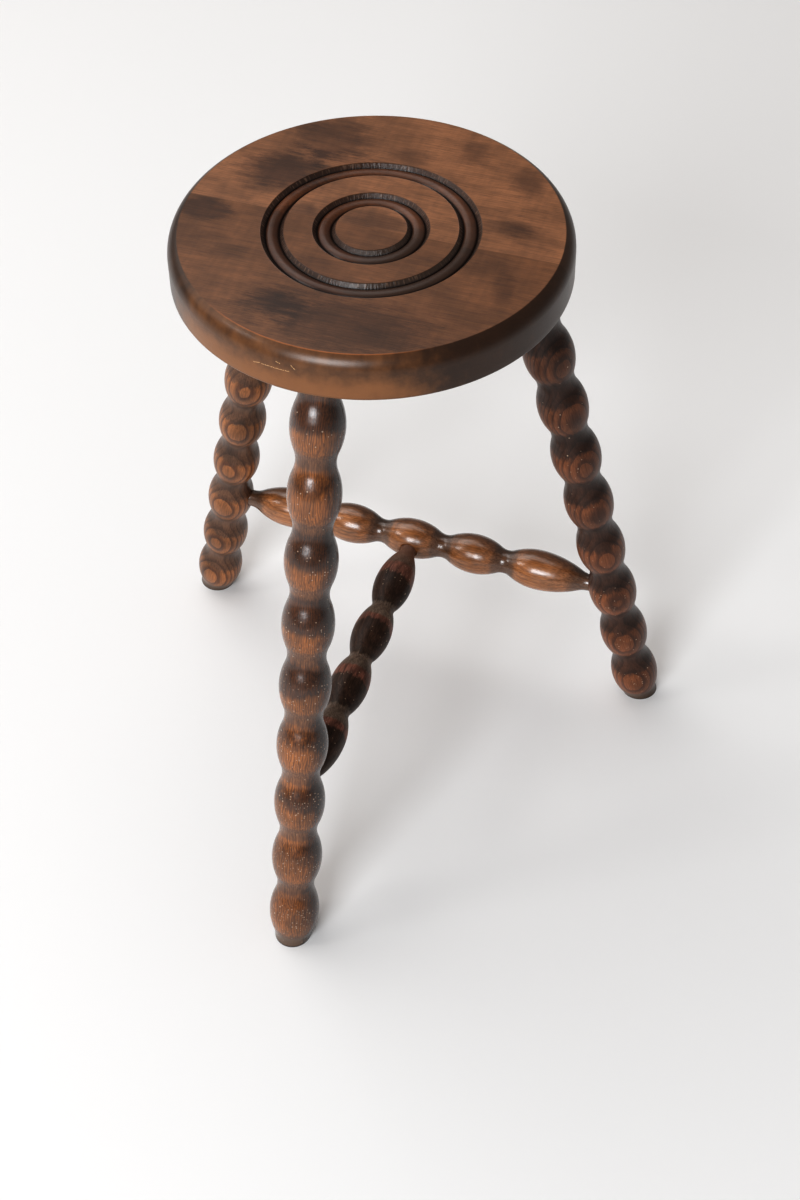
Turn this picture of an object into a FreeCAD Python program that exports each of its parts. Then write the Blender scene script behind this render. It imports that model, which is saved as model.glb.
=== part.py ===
import FreeCAD, Part
import math
import os

# Three-legged stool with bobbin-turned legs and a T-shaped pair of stretchers.
# Lengths are in millimetres and angles in degrees.
# The floor is at z = 0, the seat's axis is the Z axis and the front leg stands towards -Y.

# Seat: a turned disc of two boards that are glued edge to edge along the X axis
seat_height = 500.0  # floor to the flat top
seat_diameter = 268.0
seat_thickness = 32.0
edge_width = 7.0  # from the arris of the flat top out to the rim
edge_drop = 12.0  # from the flat top down to the upright part of the rim
underside_round = 2.0

# The two sunk rings of the seat, both cut with one tool: wall, round bead, wall
boss_radius = 23.4  # the plain disc inside the inner ring
outer_ring_radius = 57.3  # the inner edge of the outer ring
ring_wall_width = 3.6
ring_bead_width = 8.0
ring_bead_height = 1.8
ring_depth = 2.7

# Legs: one bobbin pattern, cut level at the floor and scribed to the seat's underside
bead_pitch = 51.5
bead_diameter = 37.0
neck_diameter = 27.3
cove_radius = 23.5
leg_top_radius = 100.3  # seat axis to leg axis at the underside
leg_tenon_diameter = 22.0
leg_tenon_length = 22.0

# Where each leg stands: its direction seen from above and the distance of its foot
front_leg_angle = -90.0
right_leg_angle = 28.0
left_leg_angle = 150.4
front_foot_radius = 217.3
right_foot_radius = 213.2
left_foot_radius = 220.6

# Where the floor cuts each leg's pattern: along the leg, from the floor up to the lowest neck
front_foot_neck = -1.6
right_foot_neck = -0.1
left_foot_neck = 1.8

# Sockets in the legs for the stretchers, measured along each leg from the floor
front_socket_height = 129.6
right_socket_height = 127.8
left_socket_height = 132.2

# Rear stretcher: three beads between two long tapered end beads
rear_bead_count = 3
rear_bead_pitch = 52.0
rear_bead_diameter = 31.8
rear_neck_diameter = 18.8
rear_centre_shift = 3.6  # from mid-length to the centre bead, towards the left leg

# Cross stretcher: two beads between two long tapered end beads
cross_bead_count = 2
cross_bead_pitch = 55.1
cross_bead_diameter = 29.8
cross_neck_diameter = 18.3
cross_first_neck = 80.8  # from the rear stretcher's axis

# Both stretchers
stretcher_cove_radius = 11.8
taper_cove_radius = 17.0
taper_start = 27.0  # from the last neck to the widest place of an end bead
stretcher_tenon_diameter = 13.2
tenon_past_leg_axis = 5.0
tenon_past_stretcher_axis = 3.0
shoulder_clearance = 0.5  # from the surface of the bored piece to the end of the taper

# Joinery
glue_gap = 0.1  # radial, between a tenon and its socket
socket_relief = 1.0  # left empty beyond a tenon's end
cut_overrun = 40.0  # how far cutting solids stand past what they cut

underside_height = seat_height - seat_thickness
ring_width = 2 * ring_wall_width + ring_bead_width
X_AXIS = FreeCAD.Vector(1, 0, 0)
Z_AXIS = FreeCAD.Vector(0, 0, 1)


def arc(start, middle, end):
    """An arc edge through three (radius, height) points."""
    return Part.Arc(point(*start), point(*middle), point(*end)).toShape()


def line(start, end):
    """A straight edge between two (radius, height) points."""
    return Part.LineSegment(point(*start), point(*end)).toShape()


def point(radius, height):
    """A point of a turning outline, which lies in the XZ plane."""
    return FreeCAD.Vector(radius, 0, height)


def turned(edges):
    """The solid that a closed outline sweeps in one turn about the Z axis."""
    face = Part.Face(Part.Wire(edges))
    return face.revolve(FreeCAD.Vector(0, 0, 0), Z_AXIS, 360)


def bead_to_neck(wide, narrow, cove):
    """Two tangent arcs from a bead's widest place to a neck, both (radius, height)."""
    rise = wide[0] - narrow[0]
    run = narrow[1] - wide[1]
    reach = (run * run + rise * rise) / (2 * rise)
    crown = reach - cove
    half_turn = math.asin(abs(run) / reach) / 2
    side = math.copysign(1, run)
    tangent = (wide[0] - rise * crown / reach, wide[1] + run * crown / reach)
    crown_middle = (
        wide[0] - crown * (1 - math.cos(half_turn)),
        wide[1] + side * crown * math.sin(half_turn),
    )
    cove_middle = (
        narrow[0] + cove * (1 - math.cos(half_turn)),
        narrow[1] - side * cove * math.sin(half_turn),
    )
    return [arc(wide, crown_middle, tangent), arc(tangent, cove_middle, narrow)]


def bead_string(stations):
    """The outline edges through (radius, height, cove) stations, wide and narrow in turn."""
    edges = []
    for lower, upper in zip(stations, stations[1:]):
        if lower[0] > upper[0]:
            edges += bead_to_neck(lower[:2], upper[:2], upper[2])
        else:
            edges += bead_to_neck(upper[:2], lower[:2], lower[2])
    return edges


def spindle(stations):
    """A turned solid along Z with flat ends, from its outline stations."""
    first = stations[0]
    last = stations[-1]
    edges = bead_string(stations)
    edges.append(line(last[:2], (0, last[1])))
    edges.append(line((0, last[1]), (0, first[1])))
    edges.append(line((0, first[1]), first[:2]))
    return turned(Part.sortEdges(edges)[0])


def laid_along(shape, start, end):
    """A solid made along +Z from the origin, moved to run from start towards end."""
    direction = (end - start).normalize()
    shape.Placement = FreeCAD.Placement(start, FreeCAD.Rotation(Z_AXIS, direction))
    return shape


def rod(diameter, start, end, from_start, to_start):
    """A cylinder on the line from start to end, between two distances from start."""
    direction = (end - start).normalize()
    base = start + direction * from_start
    return Part.makeCylinder(diameter / 2, to_start - from_start, base, direction)


def leg_line(angle, foot_radius):
    """A leg's axis, as its point on the floor and its point at the seat's underside."""
    outward = FreeCAD.Vector(math.cos(math.radians(angle)), math.sin(math.radians(angle)), 0)
    foot = outward * foot_radius
    top = outward * leg_top_radius + Z_AXIS * underside_height
    return foot, top


def along(start, end, distance):
    """The point at a distance from start on the line to end."""
    return start + (end - start).normalize() * distance


# The axes of all five turned pieces
FRONT = leg_line(front_leg_angle, front_foot_radius)
RIGHT = leg_line(right_leg_angle, right_foot_radius)
LEFT = leg_line(left_leg_angle, left_foot_radius)
FRONT_JOINT = along(*FRONT, front_socket_height)
RIGHT_JOINT = along(*RIGHT, right_socket_height)
LEFT_JOINT = along(*LEFT, left_socket_height)
REAR_LENGTH = (RIGHT_JOINT - LEFT_JOINT).Length
TEE_DISTANCE = REAR_LENGTH / 2 - rear_centre_shift
TEE_JOINT = along(LEFT_JOINT, RIGHT_JOINT, TEE_DISTANCE)
CROSS_LENGTH = (FRONT_JOINT - TEE_JOINT).Length


def ring_section(inner_radius):
    """One sunk ring's outline, from its inner edge to its outer edge."""
    floor = seat_height - ring_depth
    crown = floor + ring_bead_height
    bead_start = inner_radius + ring_wall_width
    bead_middle = bead_start + ring_bead_width / 2
    bead_end = bead_start + ring_bead_width
    return [
        line((inner_radius, seat_height), (bead_start, floor)),
        arc((bead_start, floor), (bead_middle, crown), (bead_end, floor)),
        line((bead_end, floor), (inner_radius + ring_width, seat_height)),
    ]


def seat_disc():
    """The turned seat as one disc, before it is parted into boards and bored."""
    rim = seat_diameter / 2
    arris = rim - edge_width
    upright = seat_height - edge_drop
    edge_radius = (edge_width ** 2 + edge_drop ** 2) / (2 * edge_width)
    half_sweep = math.asin(edge_drop / edge_radius) / 2
    edge_middle = (
        rim - edge_radius * (1 - math.cos(half_sweep)),
        upright + edge_radius * math.sin(half_sweep),
    )
    round_middle = (
        rim - underside_round * (1 - math.cos(math.radians(45))),
        underside_height + underside_round * (1 - math.sin(math.radians(45))),
    )
    edges = [line((0, seat_height), (boss_radius, seat_height))]
    edges += ring_section(boss_radius)
    edges.append(line((boss_radius + ring_width, seat_height), (outer_ring_radius, seat_height)))
    edges += ring_section(outer_ring_radius)
    edges.append(line((outer_ring_radius + ring_width, seat_height), (arris, seat_height)))
    edges.append(arc((arris, seat_height), edge_middle, (rim, upright)))
    edges.append(line((rim, upright), (rim, underside_height + underside_round)))
    edges.append(
        arc(
            (rim, underside_height + underside_round),
            round_middle,
            (rim - underside_round, underside_height),
        )
    )
    edges.append(line((rim - underside_round, underside_height), (0, underside_height)))
    edges.append(line((0, underside_height), (0, seat_height)))
    return turned(edges)


def leg_tenon(leg, gap, relief):
    """A leg's tenon, or its socket when it is given a gap and a relief."""
    foot, top = leg
    length = (top - foot).Length
    root = length - leg_tenon_diameter / 2
    return rod(leg_tenon_diameter + 2 * gap, foot, top, root, length + leg_tenon_length + relief)


def seat_boards():
    """The front and the rear board of the seat, with the legs' blind sockets."""
    bored = seat_disc()
    for leg in (FRONT, RIGHT, LEFT):
        bored = bored.cut(leg_tenon(leg, glue_gap, socket_relief))
    side = seat_diameter + 2 * cut_overrun
    half = side / 2
    front_space = Part.makeBox(side, half, seat_height + cut_overrun, FreeCAD.Vector(-half, -half, 0))
    rear_space = Part.makeBox(side, half, seat_height + cut_overrun, FreeCAD.Vector(-half, 0, 0))
    return bored.common(front_space), bored.common(rear_space)


def bobbin_stations(length, foot_neck):
    """The leg pattern's stations, from one bead below its foot's neck to past the given length."""
    stations = [(bead_diameter / 2, foot_neck - bead_pitch / 2, cove_radius)]
    height = foot_neck
    while stations[-1][1] < length + leg_tenon_diameter / 2:
        stations.append((neck_diameter / 2, height, cove_radius))
        stations.append((bead_diameter / 2, height + bead_pitch / 2, cove_radius))
        height += bead_pitch
    return stations


def standing_space():
    """The space between the floor and the seat's underside."""
    reach = max(front_foot_radius, right_foot_radius, left_foot_radius)
    half = reach + bead_diameter + cut_overrun
    return Part.makeBox(2 * half, 2 * half, underside_height, FreeCAD.Vector(-half, -half, 0))


def stretcher_socket(start, end, past_axis, surface):
    """The bore at start for a stretcher that runs from start to end."""
    bore = stretcher_tenon_diameter + 2 * glue_gap
    return rod(bore, start, end, -past_axis - socket_relief, surface + cut_overrun)


def turned_leg(leg, foot_neck, joint, far_joint):
    """One leg: its bobbin body, its tenon into the seat and its stretcher socket."""
    foot, top = leg
    body = laid_along(spindle(bobbin_stations((top - foot).Length, foot_neck)), foot, top)
    body = body.common(standing_space())
    body = body.fuse(leg_tenon(leg, 0, 0))
    body = body.cut(stretcher_socket(joint, far_joint, tenon_past_leg_axis, bead_diameter / 2))
    return body.removeSplitter()


def neck_places(first, beads, pitch):
    """The distances of the necks on both sides of each middle bead."""
    return [first + step * pitch for step in range(beads + 1)]


def stretcher_stations(necks, length, bead, neck, start_surface, end_surface):
    """A stretcher's stations between its two tenons, with a taper outside its outer necks."""
    tenon = stretcher_tenon_diameter / 2
    stations = [(tenon, start_surface, taper_cove_radius)]
    stations.append((bead / 2, necks[0] - taper_start, stretcher_cove_radius))
    for lower, upper in zip(necks, necks[1:]):
        stations.append((neck / 2, lower, stretcher_cove_radius))
        stations.append((bead / 2, (lower + upper) / 2, stretcher_cove_radius))
    stations.append((neck / 2, necks[-1], stretcher_cove_radius))
    stations.append((bead / 2, necks[-1] + taper_start, stretcher_cove_radius))
    stations.append((tenon, length - end_surface, taper_cove_radius))
    return stations


def with_tenons(body, start, end, start_surface, end_surface, past_start, past_end):
    """A stretcher body laid from start to end, with a round tenon at each end."""
    length = (end - start).Length
    placed = laid_along(body, start, end)
    first = rod(stretcher_tenon_diameter, start, end, -past_start, start_surface)
    last = rod(stretcher_tenon_diameter, start, end, length - end_surface, length + past_end)
    return placed.fuse([first, last]).removeSplitter()


def rear_stretcher():
    """The stretcher between the two rear legs, bored at its centre bead."""
    surface = bead_diameter / 2 + shoulder_clearance
    first_neck = TEE_DISTANCE - rear_bead_count * rear_bead_pitch / 2
    necks = neck_places(first_neck, rear_bead_count, rear_bead_pitch)
    stations = stretcher_stations(
        necks, REAR_LENGTH, rear_bead_diameter, rear_neck_diameter, surface, surface
    )
    body = with_tenons(
        spindle(stations),
        LEFT_JOINT,
        RIGHT_JOINT,
        surface,
        surface,
        tenon_past_leg_axis,
        tenon_past_leg_axis,
    )
    bead = rear_bead_diameter / 2
    return body.cut(stretcher_socket(TEE_JOINT, FRONT_JOINT, tenon_past_stretcher_axis, bead))


def cross_stretcher():
    """The stretcher from the rear stretcher's centre bead to the front leg."""
    rear_surface = rear_bead_diameter / 2 + shoulder_clearance
    front_surface = bead_diameter / 2 + shoulder_clearance
    necks = neck_places(cross_first_neck, cross_bead_count, cross_bead_pitch)
    stations = stretcher_stations(
        necks, CROSS_LENGTH, cross_bead_diameter, cross_neck_diameter, rear_surface, front_surface
    )
    return with_tenons(
        spindle(stations),
        TEE_JOINT,
        FRONT_JOINT,
        rear_surface,
        front_surface,
        tenon_past_stretcher_axis,
        tenon_past_leg_axis,
    )


def export(shapes):
    """Writes one STEP file per node."""
    os.makedirs("parts", exist_ok=True)
    for name, shape in shapes.items():
        shape.exportStep("parts/" + name + ".step")
        print(name, len(shape.Solids), "solid", round(shape.Volume), "mm3", shape.isValid())


front_board, rear_board = seat_boards()
export(
    {
        "seat_front_board": front_board,
        "seat_rear_board": rear_board,
        "front_leg": turned_leg(FRONT, front_foot_neck, FRONT_JOINT, TEE_JOINT),
        "right_rear_leg": turned_leg(RIGHT, right_foot_neck, RIGHT_JOINT, LEFT_JOINT),
        "left_rear_leg": turned_leg(LEFT, left_foot_neck, LEFT_JOINT, RIGHT_JOINT),
        "rear_stretcher": rear_stretcher(),
        "cross_stretcher": cross_stretcher(),
    }
)
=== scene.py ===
"""The looks of a three-legged stool: a round seat of two boards on bobbin-turned legs and stretchers."""

import logging
import math
from bisect import bisect_right
from dataclasses import dataclass, field
from enum import Enum

import bmesh
import bpy
from mathutils import Matrix, Vector


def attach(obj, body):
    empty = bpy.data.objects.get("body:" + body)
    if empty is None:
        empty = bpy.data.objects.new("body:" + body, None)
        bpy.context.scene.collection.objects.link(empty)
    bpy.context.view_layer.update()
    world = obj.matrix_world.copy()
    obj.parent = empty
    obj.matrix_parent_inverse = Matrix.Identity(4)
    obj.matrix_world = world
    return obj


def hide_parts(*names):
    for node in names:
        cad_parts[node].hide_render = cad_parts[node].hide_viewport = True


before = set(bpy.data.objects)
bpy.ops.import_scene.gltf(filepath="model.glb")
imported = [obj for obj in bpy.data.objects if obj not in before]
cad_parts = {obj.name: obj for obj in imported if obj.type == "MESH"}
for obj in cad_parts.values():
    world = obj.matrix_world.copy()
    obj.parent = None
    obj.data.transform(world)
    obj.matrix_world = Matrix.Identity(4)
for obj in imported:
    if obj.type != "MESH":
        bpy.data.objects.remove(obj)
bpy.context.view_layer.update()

LOG = logging.getLogger("stool")

Colour = tuple[float, float, float]
Socket = bpy.types.NodeSocket
Value = Socket | float

TOUCHING = 1e-7  # vertices nearer than this are one
MILLIMETRE = 0.001
GLUE_GAP = 0.0001  # radial, between a tenon and its socket
SOCKET_RELIEF = 0.001  # left empty beyond a tenon's end
ORIGIN = Vector((0.0, 0.0, 0.0))
UP = Vector((0.0, 0.0, 1.0))


def tint(red: int, green: int, blue: int) -> Colour:
    """Turns a colour as a screen shows it into the linear one that shaders use.

    Args:
        red: The red part, from 0 to 255.
        green: The green part, from 0 to 255.
        blue: The blue part, from 0 to 255.

    Returns:
        The linear colour.
    """

    def linear(level: int) -> float:
        """Undoes the screen's curve for one part of the colour."""
        share = level / 255
        return share / 12.92 if share <= 0.04045 else ((share + 0.055) / 1.055) ** 2.4

    return linear(red), linear(green), linear(blue)


class Facing(Enum):
    """Which side of the seat's glue line a board lies on, as the sign of its Y."""

    FRONT = -1
    REAR = 1


class Outline:
    """A turning outline in the XZ plane of a mesh, drawn from vertex to vertex."""

    def __init__(self, mesh: bmesh.types.BMesh, radius: float, height: float) -> None:
        """Starts the outline.

        Args:
            mesh: The mesh that takes the outline's vertices and edges.
            radius: The first point's distance from the turning axis.
            height: The first point's place along the axis.
        """
        self.mesh = mesh
        self.tip = mesh.verts.new((radius, 0.0, height))

    def line_to(self, radius: float, height: float, steps: int = 1) -> None:
        """Draws a straight run of equal edges.

        Args:
            radius: The end's distance from the axis.
            height: The end's place along the axis.
            steps: How many edges the run has.
        """
        stride = (Vector((radius, 0.0, height)) - self.tip.co) / steps
        for _ in range(steps):
            self.tip = bmesh.ops.extrude_vert_indiv(self.mesh, verts=[self.tip])["verts"][0]
            bmesh.ops.translate(self.mesh, verts=[self.tip], vec=stride)

    def arc_about(self, radius: float, height: float, turn: float, steps: int) -> None:
        """Draws an arc about a centre.

        Args:
            radius: The centre's distance from the axis.
            height: The centre's place along the axis.
            turn: The arc's angle, positive where it runs from above the centre outwards and down.
            steps: How many edges the arc has.
        """
        swept = bmesh.ops.spin(
            self.mesh, geom=[self.tip], cent=(radius, 0.0, height), axis=(0.0, 1.0, 0.0),
            angle=turn, steps=steps, use_merge=False, use_duplicate=False,
        )
        self.tip = next(item for item in swept["geom_last"] if isinstance(item, bmesh.types.BMVert))

    def half_bead(self, radius: float, height: float, cove: float, steps: int) -> None:
        """Draws the two tangent arcs between a bead's widest place and a neck, whichever the tip is at.

        Args:
            radius: The distance of the far end from the axis.
            height: The far end's place along the axis.
            cove: The radius of the hollow arc at the neck.
            steps: How many edges each arc has.
        """
        near_radius, near_height = self.tip.co.x, self.tip.co.z
        rise = abs(radius - near_radius)
        run = height - near_height
        reach = (run * run + rise * rise) / (2 * rise)
        crown = reach - cove
        turn = math.asin(run / reach)
        if radius > near_radius:
            self.arc_about(near_radius + cove, near_height, turn, steps)
            self.arc_about(radius - crown, height, -turn, steps)
        else:
            self.arc_about(near_radius - crown, near_height, -turn, steps)
            self.arc_about(radius + cove, height, turn, steps)


def lathe(mesh: bmesh.types.BMesh, segments: int) -> None:
    """Sweeps everything in a mesh one full turn about the Z axis.

    Args:
        mesh: The mesh that holds the outline.
        segments: How many steps the turn has.
    """
    bmesh.ops.spin(
        mesh, geom=[*mesh.verts, *mesh.edges], cent=(0.0, 0.0, 0.0), axis=(0.0, 0.0, 1.0),
        angle=math.tau, steps=segments, use_merge=True, use_duplicate=False,
    )
    bmesh.ops.remove_doubles(mesh, verts=mesh.verts[:], dist=TOUCHING)


def cut_flat(mesh: bmesh.types.BMesh, place: Vector, side: Vector) -> list[bmesh.types.BMEdge]:
    """Cuts a mesh by a plane and drops what lies beyond it.

    Args:
        mesh: The mesh to cut.
        place: A point on the plane.
        side: The plane's normal, towards what is dropped.

    Returns:
        The edges of the cut.
    """
    geometry = [*mesh.verts, *mesh.edges, *mesh.faces]
    cut = bmesh.ops.bisect_plane(
        mesh, geom=geometry, dist=TOUCHING, plane_co=place, plane_no=side,
        clear_outer=True, clear_inner=False,
    )
    return [item for item in cut["geom_cut"] if isinstance(item, bmesh.types.BMEdge)]


def rod(radius: float, length: float, segments: int, placement: Matrix) -> bmesh.types.BMesh:
    """Makes a closed round rod.

    Args:
        radius: Its radius.
        length: Its length.
        segments: How many sides it has.
        placement: From its own frame, with its middle at the origin and its axis along Z, to where it is.

    Returns:
        Its mesh.
    """
    mesh = bmesh.new()
    bmesh.ops.create_cone(
        mesh, cap_ends=True, cap_tris=False, segments=segments,
        radius1=radius, radius2=radius, depth=length,
    )
    bmesh.ops.transform(mesh, matrix=placement, verts=mesh.verts[:])
    return mesh


def soften(mesh: bmesh.types.BMesh, edges: list[bmesh.types.BMEdge], width: float, segments: int) -> None:
    """Rounds some edges.

    Args:
        mesh: The mesh that holds them.
        edges: The edges to round.
        width: The rounding's width.
        segments: How many faces it has across.
    """
    bmesh.ops.bevel(
        mesh, geom=edges, offset=width, offset_type="OFFSET", segments=segments, profile=0.5,
        affect="EDGES", clamp_overlap=True, material=-1,
    )


def finished(mesh: bmesh.types.BMesh, name: str, crease: float = 32.0) -> bpy.types.Object:
    """Turns a mesh's faces outwards, shades it smooth up to its creases and makes its object.

    Args:
        mesh: The mesh, which is freed.
        name: The new object's name.
        crease: The angle in degrees past which an edge stays sharp.

    Returns:
        The object, at the origin.
    """
    bmesh.ops.remove_doubles(mesh, verts=mesh.verts[:], dist=TOUCHING)
    bmesh.ops.recalc_face_normals(mesh, faces=mesh.faces[:])
    limit = math.radians(crease)
    for face in mesh.faces:
        face.smooth = True
    for edge in mesh.edges:
        edge.smooth = edge.calc_face_angle(0.0) < limit
    data = bpy.data.meshes.new(name)
    mesh.to_mesh(data)
    mesh.free()
    piece = bpy.data.objects.new(name, data)
    bpy.context.scene.collection.objects.link(piece)
    return piece


def bore(piece: bpy.types.Object, cutters: list[bpy.types.Object]) -> None:
    """Bores a piece with other solids, which are then deleted.

    Args:
        piece: The piece to bore.
        cutters: The solids to take away.
    """
    for cutter in cutters:
        step = piece.modifiers.new(cutter.name, "BOOLEAN")
        step.operation = "DIFFERENCE"
        step.solver = "EXACT"
        step.object = cutter
    bpy.context.view_layer.update()
    shaped = piece.evaluated_get(bpy.context.evaluated_depsgraph_get())
    data = bpy.data.meshes.new_from_object(shaped)
    piece.modifiers.clear()
    old = piece.data
    piece.data = data
    bpy.data.meshes.remove(old)
    data.name = piece.name
    for cutter in cutters:
        bpy.data.objects.remove(cutter)


def axis_frame(start: Vector, end: Vector, figure: Vector) -> Matrix:
    """The placement of a piece that is turned along +Z from the origin.

    Args:
        start: Where its origin goes.
        end: A point that its axis runs towards.
        figure: The way that its growth layers face, which becomes its +X.

    Returns:
        The placement.
    """
    upward = (end - start).normalized()
    outward = (figure - upward * figure.dot(upward)).normalized()
    across = upward.cross(outward)
    turn = Matrix((outward, across, upward)).transposed().to_4x4()
    return Matrix.Translation(start) @ turn


def heading(degrees: float) -> Vector:
    """The level direction at an angle from +X, seen from above."""
    angle = math.radians(degrees)
    return Vector((math.cos(angle), math.sin(angle), 0.0))


class Graph:
    """A material's nodes, with a short method for each kind of step."""

    MIX_SHARE, MIX_FIRST, MIX_SECOND, MIX_RESULT = 0, 6, 7, 2  # the Mix node's sockets for colours
    WOOD_GLOSS = 0.1  # of the wood itself, under the varnish

    def __init__(self, name: str) -> None:
        """Makes the material.

        Args:
            name: The material's name.
        """
        self.material = bpy.data.materials.new(name)
        self.material.use_nodes = True
        self.nodes = self.material.node_tree.nodes
        self.links = self.material.node_tree.links
        self.shader = next(node for node in self.nodes if node.type == "BSDF_PRINCIPLED")
        self.object_place = self.nodes.new("ShaderNodeTexCoord").outputs["Object"]

    def feed(self, socket: Socket, value: Value | Colour | Vector) -> None:
        """Links a value to a socket, or sets it there if it is a plain one.

        Args:
            socket: The socket.
            value: The other socket, or the plain value.
        """
        if isinstance(value, Socket):
            self.links.new(value, socket)
        elif socket.type == "RGBA":
            socket.default_value = (*value, 1.0)
        else:
            socket.default_value = value

    def maths(self, operation: str, first: Value, second: Value = 0.0) -> Socket:
        """One Math node.

        Args:
            operation: The node's operation.
            first: Its first value.
            second: Its second value.

        Returns:
            The result.
        """
        node = self.nodes.new("ShaderNodeMath")
        node.operation = operation
        for socket, value in zip(node.inputs, (first, second)):
            self.feed(socket, value)
        return node.outputs[0]

    def times(self, first: Value, second: Value) -> Socket:
        """The product of two values."""
        return self.maths("MULTIPLY", first, second)

    def plus(self, first: Value, second: Value) -> Socket:
        """The sum of two values."""
        return self.maths("ADD", first, second)

    def minus(self, first: Value, second: Value) -> Socket:
        """The difference of two values."""
        return self.maths("SUBTRACT", first, second)

    def span(self, value: Value, low: float, high: float, start: float = 0.0, end: float = 1.0) -> Socket:
        """Eases a value from one range to another, and stops at both ends.

        Args:
            value: The value.
            low: Where it gives start.
            high: Where it gives end.
            start: The result at low.
            end: The result at high.

        Returns:
            The eased value.
        """
        node = self.nodes.new("ShaderNodeMapRange")
        node.interpolation_type = "SMOOTHSTEP"
        self.feed(node.inputs["Value"], value)
        node.inputs["From Min"].default_value = low
        node.inputs["From Max"].default_value = high
        node.inputs["To Min"].default_value = start
        node.inputs["To Max"].default_value = end
        return node.outputs["Result"]

    def mix(
        self, share: Value, first: Socket | Colour, second: Socket | Colour, blend: str = "MIX",
    ) -> Socket:
        """Mixes two colours.

        Args:
            share: How much of the second one shows.
            first: The first colour.
            second: The second colour.
            blend: How they mix.

        Returns:
            The mixed colour.
        """
        node = self.nodes.new("ShaderNodeMix")
        node.data_type = "RGBA"
        node.blend_type = blend
        self.feed(node.inputs[self.MIX_SHARE], share)
        self.feed(node.inputs[self.MIX_FIRST], first)
        self.feed(node.inputs[self.MIX_SECOND], second)
        return node.outputs[self.MIX_RESULT]

    def shaded(self, colour: Socket, shade: Socket) -> Socket:
        """A colour made lighter or darker.

        Args:
            colour: The colour.
            shade: What all its parts are multiplied by.

        Returns:
            The shaded colour.
        """
        return self.mix(1.0, colour, self.joined(shade, shade, shade), "MULTIPLY")

    def moved(self, place: Socket, shift: Vector, turn: Vector, scale: Vector) -> Socket:
        """The place in a frame that is shifted, turned and scaled.

        Args:
            place: The place in the outer frame.
            shift: The inner frame's origin.
            turn: Its turn, as Euler angles in radians.
            scale: The length of its unit along each axis.

        Returns:
            The place in the inner frame.
        """
        node = self.nodes.new("ShaderNodeMapping")
        node.vector_type = "TEXTURE"
        self.feed(node.inputs["Vector"], place)
        node.inputs["Location"].default_value = shift
        node.inputs["Rotation"].default_value = turn
        node.inputs["Scale"].default_value = scale
        return node.outputs[0]

    def in_millimetres(self, shift: Vector, turn: Vector) -> Socket:
        """The place on the piece in its own frame, in millimetres.

        Args:
            shift: The frame's origin.
            turn: Its turn, as Euler angles in radians.

        Returns:
            The place.
        """
        return self.moved(self.object_place, shift, turn, Vector((MILLIMETRE, MILLIMETRE, MILLIMETRE)))

    def scaled(self, place: Socket, factors: tuple[float, float, float], shift: float = 0.0) -> Socket:
        """A place multiplied part by part, then shifted alike on each axis.

        Args:
            place: The place.
            factors: What its X, Y and Z are multiplied by.
            shift: How far it is then shifted on each axis.

        Returns:
            The new place.
        """
        node = self.nodes.new("ShaderNodeVectorMath")
        node.operation = "MULTIPLY_ADD"
        self.feed(node.inputs[0], place)
        node.inputs[1].default_value = factors
        node.inputs[2].default_value = (shift, shift, shift)
        return node.outputs[0]

    def parts(self, place: Socket) -> tuple[Socket, Socket, Socket]:
        """Takes a place apart.

        Args:
            place: The place.

        Returns:
            Its X, Y and Z.
        """
        node = self.nodes.new("ShaderNodeSeparateXYZ")
        self.feed(node.inputs[0], place)
        return node.outputs[0], node.outputs[1], node.outputs[2]

    def joined(self, x: Value, y: Value, z: Value) -> Socket:
        """Puts a place together.

        Args:
            x: Its X.
            y: Its Y.
            z: Its Z.

        Returns:
            The place.
        """
        node = self.nodes.new("ShaderNodeCombineXYZ")
        for socket, value in zip(node.inputs, (x, y, z)):
            self.feed(socket, value)
        return node.outputs[0]

    def length(self, place: Socket) -> Socket:
        """Measures how far a place is from the origin.

        Args:
            place: The place.

        Returns:
            The distance.
        """
        node = self.nodes.new("ShaderNodeVectorMath")
        node.operation = "LENGTH"
        self.feed(node.inputs[0], place)
        return node.outputs["Value"]

    def noise(self, place: Socket, detail: float = 2.0, roughness: float = 0.5) -> Socket:
        """Smooth noise of unit grain.

        Args:
            place: Where it is read.
            detail: How many finer layers it has.
            roughness: How strong they are.

        Returns:
            Noise that is mostly between 0.3 and 0.7.
        """
        node = self.nodes.new("ShaderNodeTexNoise")
        node.noise_dimensions = "3D"
        self.feed(node.inputs["Vector"], place)
        node.inputs["Scale"].default_value = 1.0
        node.inputs["Detail"].default_value = detail
        node.inputs["Roughness"].default_value = roughness
        return node.outputs["Fac"]

    def swing(self, noise: Socket, low: float, high: float) -> Socket:
        """Spreads noise, which is mostly between 0.3 and 0.7, from low to high."""
        return self.span(noise, 0.3, 0.7, low, high)

    def cells(self, place: Socket) -> tuple[Socket, Socket]:
        """Scattered points of about one to each unit cube.

        Args:
            place: Where they are read.

        Returns:
            The distance to the nearest point, and that point's random colour.
        """
        node = self.nodes.new("ShaderNodeTexVoronoi")
        self.feed(node.inputs["Vector"], place)
        node.inputs["Scale"].default_value = 1.0
        return node.outputs["Distance"], node.outputs["Color"]

    def attribute(self, name: str) -> Socket:
        """Reads a number that the mesh holds at its points.

        Args:
            name: What the mesh calls it.

        Returns:
            The number.
        """
        node = self.nodes.new("ShaderNodeAttribute")
        node.attribute_name = name
        return node.outputs["Fac"]

    def layers(self, distance: Value, pitch: float) -> Socket:
        """Growth layers: pale early wood that darkens to a late wood line and ends sharply.

        Args:
            distance: The distance from the pith.
            pitch: The thickness of one year's growth.

        Returns:
            How much of it is late wood, from 0 to 1.
        """
        year = self.maths("FRACT", self.maths("DIVIDE", distance, pitch))
        rising = self.span(year, 0.35, 0.9)
        ending = self.span(year, 0.93, 1.0, 1.0, 0.0)
        return self.times(rising, ending)

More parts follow.
